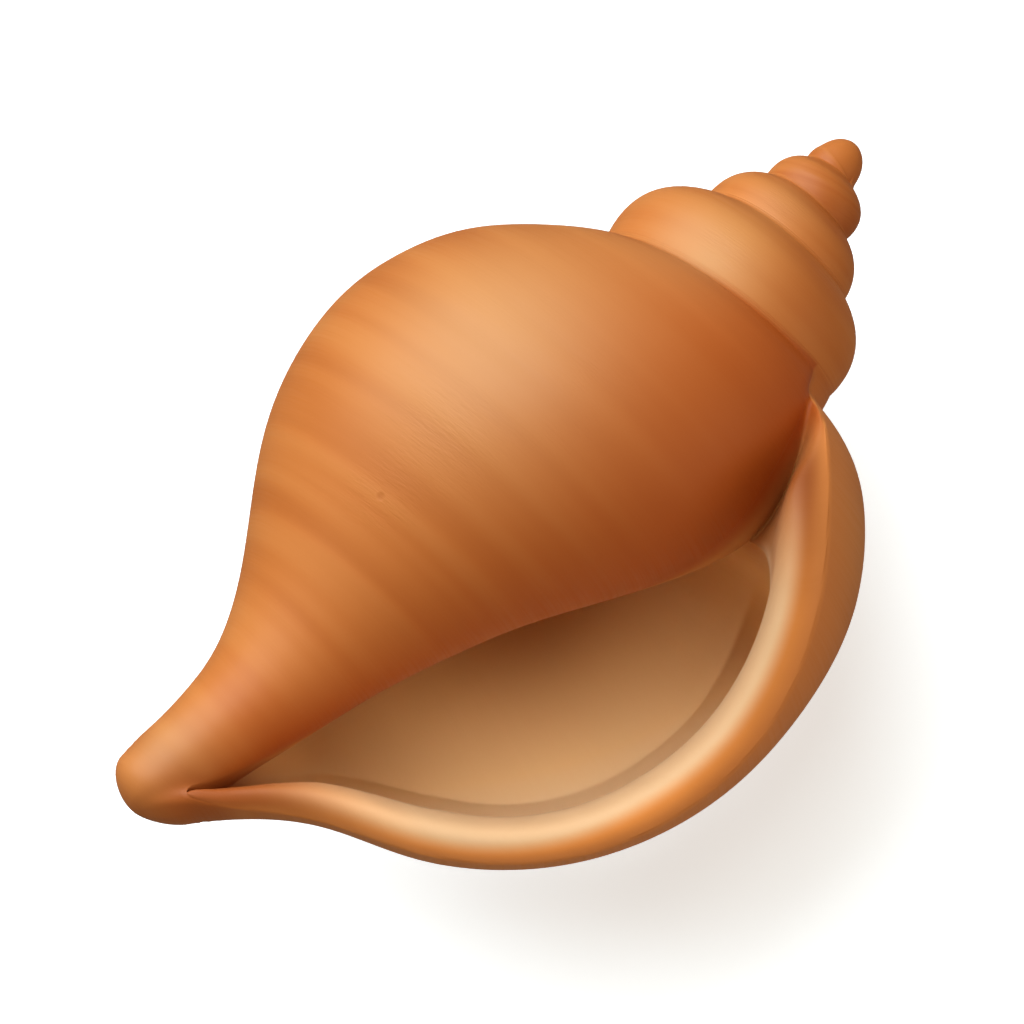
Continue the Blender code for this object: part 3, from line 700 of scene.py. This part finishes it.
def shell_material():
    material = bpy.data.materials.new("orange_shell")
    material.use_nodes = True
    tree = material.node_tree
    tree.nodes.clear()
    n = Nodes(tree)
    band, mouth, side, glaze, edge = (n.mark(name) for name in MARKS)
    where = n.new("TexCoord").outputs["Object"]
    apart = n.new("SeparateXYZ", {0: where})
    along = apart.outputs[0]

    def along_whorl(across, follow):
        """A place that changes quickly across the spiral bands and slowly along them."""
        return n.new("CombineXYZ", {0: n.math("MULTIPLY", band, across),
                                    1: n.math("MULTIPLY", apart.outputs[1], follow),
                                    2: n.math("MULTIPLY", along, follow)}).outputs[0]

    broad = n.noise(along_whorl(*BROAD_BANDS), 1.0, 1.0, 0.5)
    streaks = n.noise(along_whorl(*FINE_STREAKS), 1.0, 3.0, 0.6)
    wrinkles = n.noise(along_whorl(*WRINKLE_LINES), 1.0, 3.0, 0.6)
    patches = n.noise(where, PATCH_SCALE, 2.0, 0.5)
    cloud = n.noise(where, CLOUD_SCALE, 2.0, 0.5)
    grain = n.noise(where, GRAIN_SCALE, 2.0, 0.6)

    # The outer skin: bands, streaks, clouds and painted highlights, then the glaze with painted shade and
    # the lip's side, partly painted light, over them
    outer = n.ramp(n.fade(broad, 0.30, 0.70), [(0.0, DARK_BAND), (0.5, ORANGE), (1.0, LIGHT_BAND)])
    streaked = n.math("MULTIPLY", n.fade(streaks, 0.58, 0.80), n.fade(patches, 0.50, 0.70, 0.0, 0.24))
    outer = n.paint(streaked, outer, STREAK)
    outer = n.paint(n.fade(cloud, 0.42, 0.72, 0.0, 0.35), outer, LIGHT_BAND)
    # Painted highlight and painted light: paler spots where light falls brightest and on the lip's shaded
    # side
    for middle, reach, share in PAINTED_LIGHT_SPOTS:
        outer = n.paint(n.math("MULTIPLY", n.near(where, middle, reach), share), outer, PAINTED_LIGHT_PALE)
    # Darker glaze and painted shade on the body beside the mouth, fading out towards the canal's tip
    above_tip = n.fade(along, *GLAZE_AND_SHADE_ENDS)
    outer = n.paint(n.math("MULTIPLY", glaze, above_tip), outer, GLAZE_AND_SHADE)
    # The paler strip along the lip, partly painted light on its side in shade
    outer = n.paint(n.math("MULTIPLY", edge, n.math("MULTIPLY", above_tip, 0.8)), outer, LIP_SIDE)
    # Painted shade spots on the outer skin
    for middle, reach, share in PAINTED_SHADE_SPOTS:
        outer = n.paint(n.math("MULTIPLY", n.near(where, middle, reach), share), outer, SHADED)
    pit = n.near(where, PIT, *PIT_SIZE)
    outer = n.paint(n.math("MULTIPLY", pit, 0.35), outer, STREAK)

    # Over the lip: the orange crest, the cream flare and the lining, which painted shade darkens with depth
    # The crest, with painted shade at the canal
    crest = n.ramp(n.fade(along, *CANAL_SHADE_ENDS), [(0.0, CANAL_SHADE), (1.0, RIDGE)])
    crest = n.paint(n.fade(along, *RIDGE_DARKENS), crest, RIDGE_ABOVE)
    # Painted shade at the lip's top, in the valley between lip and body
    crest = n.paint(n.fade(along, *TOP_DARKENS), crest, LIP_TOP_SHADE)
    ridge = n.mix(n.fade(mouth, *CREST_OVER), outer, crest)
    open_part = n.math("MULTIPLY", n.fade(along, *CREAM_STARTS), n.fade(along, *CREAM_STOPS))
    spread = n.math("ADD", mouth, n.fade(along, *CREAM_WIDENS, *CREAM_SHIFT))
    flare = n.paint(n.math("MULTIPLY", n.fade(spread, *CREAM_OVER), open_part), ridge, CREAM)
    depth = n.fade(mouth, *DEPTH_OVER)
    inside = n.ramp(depth, [(0.0, INSIDE_LIGHT), (0.45, INSIDE_MIDDLE), (1.0, INSIDE_SHADE)])
    lining = n.mix(n.fade(mouth, *LINING_OVER), flare, inside)
    # Painted shade on the body's side inside the mouth
    inner_wall = n.paint(n.fade(mouth, *BODY_SIDE_OVER), outer, INSIDE_SHADE)
    colour = n.mix(side, lining, inner_wall)
    into_mouth = n.fade(mouth, *MOUTH_OVER)
    # Painted shade over the mouth towards the canal's end, where the groove lies in shade
    colour = n.paint(n.math("MULTIPLY", n.fade(along, *GROOVE_DARKENS), into_mouth), colour, SHADED)

    # The relief and the gloss, which is duller in the mouth
    wrinkled = 0.0
    for middle, reach in WRINKLED:
        wrinkled = n.math("ADD", n.near(where, middle, reach, 0.001), wrinkled)
    relief = n.math("ADD", n.math("MULTIPLY", broad, 2.0), n.math("MULTIPLY", streaks, 0.10))
    relief = n.math("ADD", relief, n.math("MULTIPLY", wrinkles, n.math("MULTIPLY", wrinkled, 0.6)))
    relief = n.math("ADD", relief, n.math("MULTIPLY", grain, 0.03))
    relief = n.math("SUBTRACT", relief, n.math("MULTIPLY", pit, 0.8))
    bump = n.new("Bump", {"Height": relief, "Strength": 0.18, "Distance": 0.0005})
    duller = n.math("MULTIPLY", into_mouth, 0.12)
    rough = n.math("ADD", n.fade(streaks, 0.3, 0.8, 0.46, 0.56), duller)
    surface = n.new("BsdfPrincipled", {
        "Base Color": colour, "Roughness": rough, "Normal": bump.outputs[0], "Specular IOR Level": 0.36,
    })
    out = n.new("OutputMaterial")
    tree.links.new(surface.outputs[0], out.inputs["Surface"])
    return material


# The camera looks down on the mouth, with the spire turned up to the right
CAMERA_TILT = math.radians(10)
CAMERA_DISTANCE = 0.40
PICTURE_WIDTH = 0.09216
SENSOR = 36.0
NEAREST = 0.01
ASIDE = 0.91  # the picture's middle lies this far from the shell's centre line, towards the lip

# The lights hang at one distance. Lamps: (name, towards the camera, up and right, size, watts, colour)
LAMP_DISTANCE = 0.9
LAMPS = [
    ("window", (0.55, 0.66, -0.50), 1.0, 10.2, (1.0, 1.0, 1.0)),
    ("ceiling", (0.90, 0.38, -0.22), 0.5, 1.9, (1.0, 1.0, 1.0)),
    ("fill", (0.40, -0.25, 0.85), 0.6, 1.5, (1.0, 0.66, 0.36)),
]
BEAM_ANGLE = math.radians(1.02)
BEAM_SOURCE = 0.008
MOUTH_BEAMS = [  # (to the right, down, watts)
    (-0.0145, 0.0213, 8.5),
    (-0.0050, 0.0238, 22.5),
    (0.0050, 0.0238, 22.5),
    (0.0130, 0.0190, 16.5),
    (0.0185, 0.0120, 12.5),
]


def turned(upright):
    """A direction of the upright shell, as it lies."""
    x, y, z = upright
    lean = REST_LEAN
    return Vector((z, -x * math.cos(lean) + y * math.sin(lean), -x * math.sin(lean) - y * math.cos(lean)))


TO_CAMERA = turned((0, -math.cos(CAMERA_TILT), -math.sin(CAMERA_TILT)))
TO_APEX = turned((0, -math.sin(CAMERA_TILT), math.cos(CAMERA_TILT)))
TO_LIP = turned((1, 0, 0))
RIGHT = (TO_APEX + TO_LIP).normalized()
UP = (TO_APEX - TO_LIP).normalized()
AIM = (Vector((-MIDDLE_X, -MIDDLE_Y, REST_HEIGHT)) + TO_LIP * ASIDE) * MM

TABLE_HALF = 3.0
TABLE_COLOUR = (0.78, 0.92, 1.0)
TABLE_GLOW = (0.99, 0.985, 1.0)
GLOW_STRENGTH = 0.525
SKY_COLOUR = (1.0, 0.80, 0.58)
SKY_HEIGHTS = (-0.6, 0.9)
SKY_STRENGTHS = (0.25, 0.38)


def camera():
    data = bpy.data.cameras.new("camera")
    data.sensor_width = SENSOR
    data.lens = SENSOR * CAMERA_DISTANCE / PICTURE_WIDTH
    data.clip_start = NEAREST
    seen = bpy.data.objects.new("camera", data)
    pose = Matrix((RIGHT, UP, TO_CAMERA)).transposed().to_4x4()
    pose.translation = AIM + TO_CAMERA * CAMERA_DISTANCE
    seen.matrix_world = pose
    bpy.context.scene.collection.objects.link(seen)
    bpy.context.scene.camera = seen


def hung(name, data, aim, towards):
    """Hangs a light in a direction from the place that it lights."""
    light = bpy.data.objects.new(name, data)
    towards = towards.normalized()
    light.location = aim + towards * LAMP_DISTANCE
    light.rotation_mode = "QUATERNION"
    light.rotation_quaternion = towards.to_track_quat("Z", "Y")
    bpy.context.scene.collection.objects.link(light)


def lamp(name, towards, size, power, colour):
    """A soft square lamp that lights the whole shell."""
    front, above, right = towards
    data = bpy.data.lights.new(name, "AREA")
    data.size = size
    data.energy = power
    data.color = colour
    hung(name, data, AIM, TO_CAMERA * front + UP * above + RIGHT * right)


def beam(right, down, power):
    """A narrow soft-edged beam into the mouth."""
    data = bpy.data.lights.new("beam", "SPOT")
    data.spot_size = BEAM_ANGLE
    data.spot_blend = 1.0
    data.shadow_soft_size = BEAM_SOURCE
    data.energy = power
    hung("beam", data, AIM + RIGHT * right - UP * down, TO_CAMERA)


def table_top():
    """The pale floor. It glows a little, so that only the shadow is darker than white."""
    mesh = bpy.data.meshes.new("table_top")
    far = TABLE_HALF
    mesh.from_pydata([(-far, -far, 0), (far, -far, 0), (far, far, 0), (-far, far, 0)], [], [(0, 1, 2, 3)])
    material = bpy.data.materials.new("pale_table")
    material.use_nodes = True
    surface = material.node_tree.nodes["Principled BSDF"]
    surface.inputs["Base Color"].default_value = (*TABLE_COLOUR, 1.0)
    surface.inputs["Roughness"].default_value = 0.9
    surface.inputs["Specular IOR Level"].default_value = 0.0
    surface.inputs["Emission Color"].default_value = (*TABLE_GLOW, 1.0)
    surface.inputs["Emission Strength"].default_value = GLOW_STRENGTH
    mesh.materials.append(material)
    top = bpy.data.objects.new("table_top", mesh)
    top.visible_diffuse = False
    top.visible_glossy = False
    bpy.context.scene.collection.objects.link(top)


def sky():
    """Warm dim light from all round, with plain white seen behind the shell."""
    world = bpy.data.worlds.new("studio")
    world.use_nodes = True
    tree = world.node_tree
    tree.nodes.clear()
    n = Nodes(tree)
    out = n.new("OutputWorld")
    seen = n.new("LightPath").outputs["Is Camera Ray"]
    direction = n.new("TexCoord").outputs["Generated"]
    height = n.new("SeparateXYZ", {0: direction}).outputs[2]
    strength = n.fade(height, *SKY_HEIGHTS, *SKY_STRENGTHS)
    light = n.new("Background", {"Color": (*SKY_COLOUR, 1.0), "Strength": strength})
    white = n.new("Background", {"Color": (1.0, 1.0, 1.0, 1.0), "Strength": 1.0})
    both = n.new("MixShader", {0: seen, 1: light.outputs[0], 2: white.outputs[0]})
    tree.links.new(both.outputs[0], out.inputs["Surface"])
    bpy.context.scene.world = world


def main():
    skin_object = shell_object(shell_material())
    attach(skin_object, "root")
    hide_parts("shell")
    table_top()
    sky()
    camera()
    for row in LAMPS:
        lamp(*row)
    for row in MOUTH_BEAMS:
        beam(*row)
    bpy.context.scene.view_settings.view_transform = "Standard"


main()
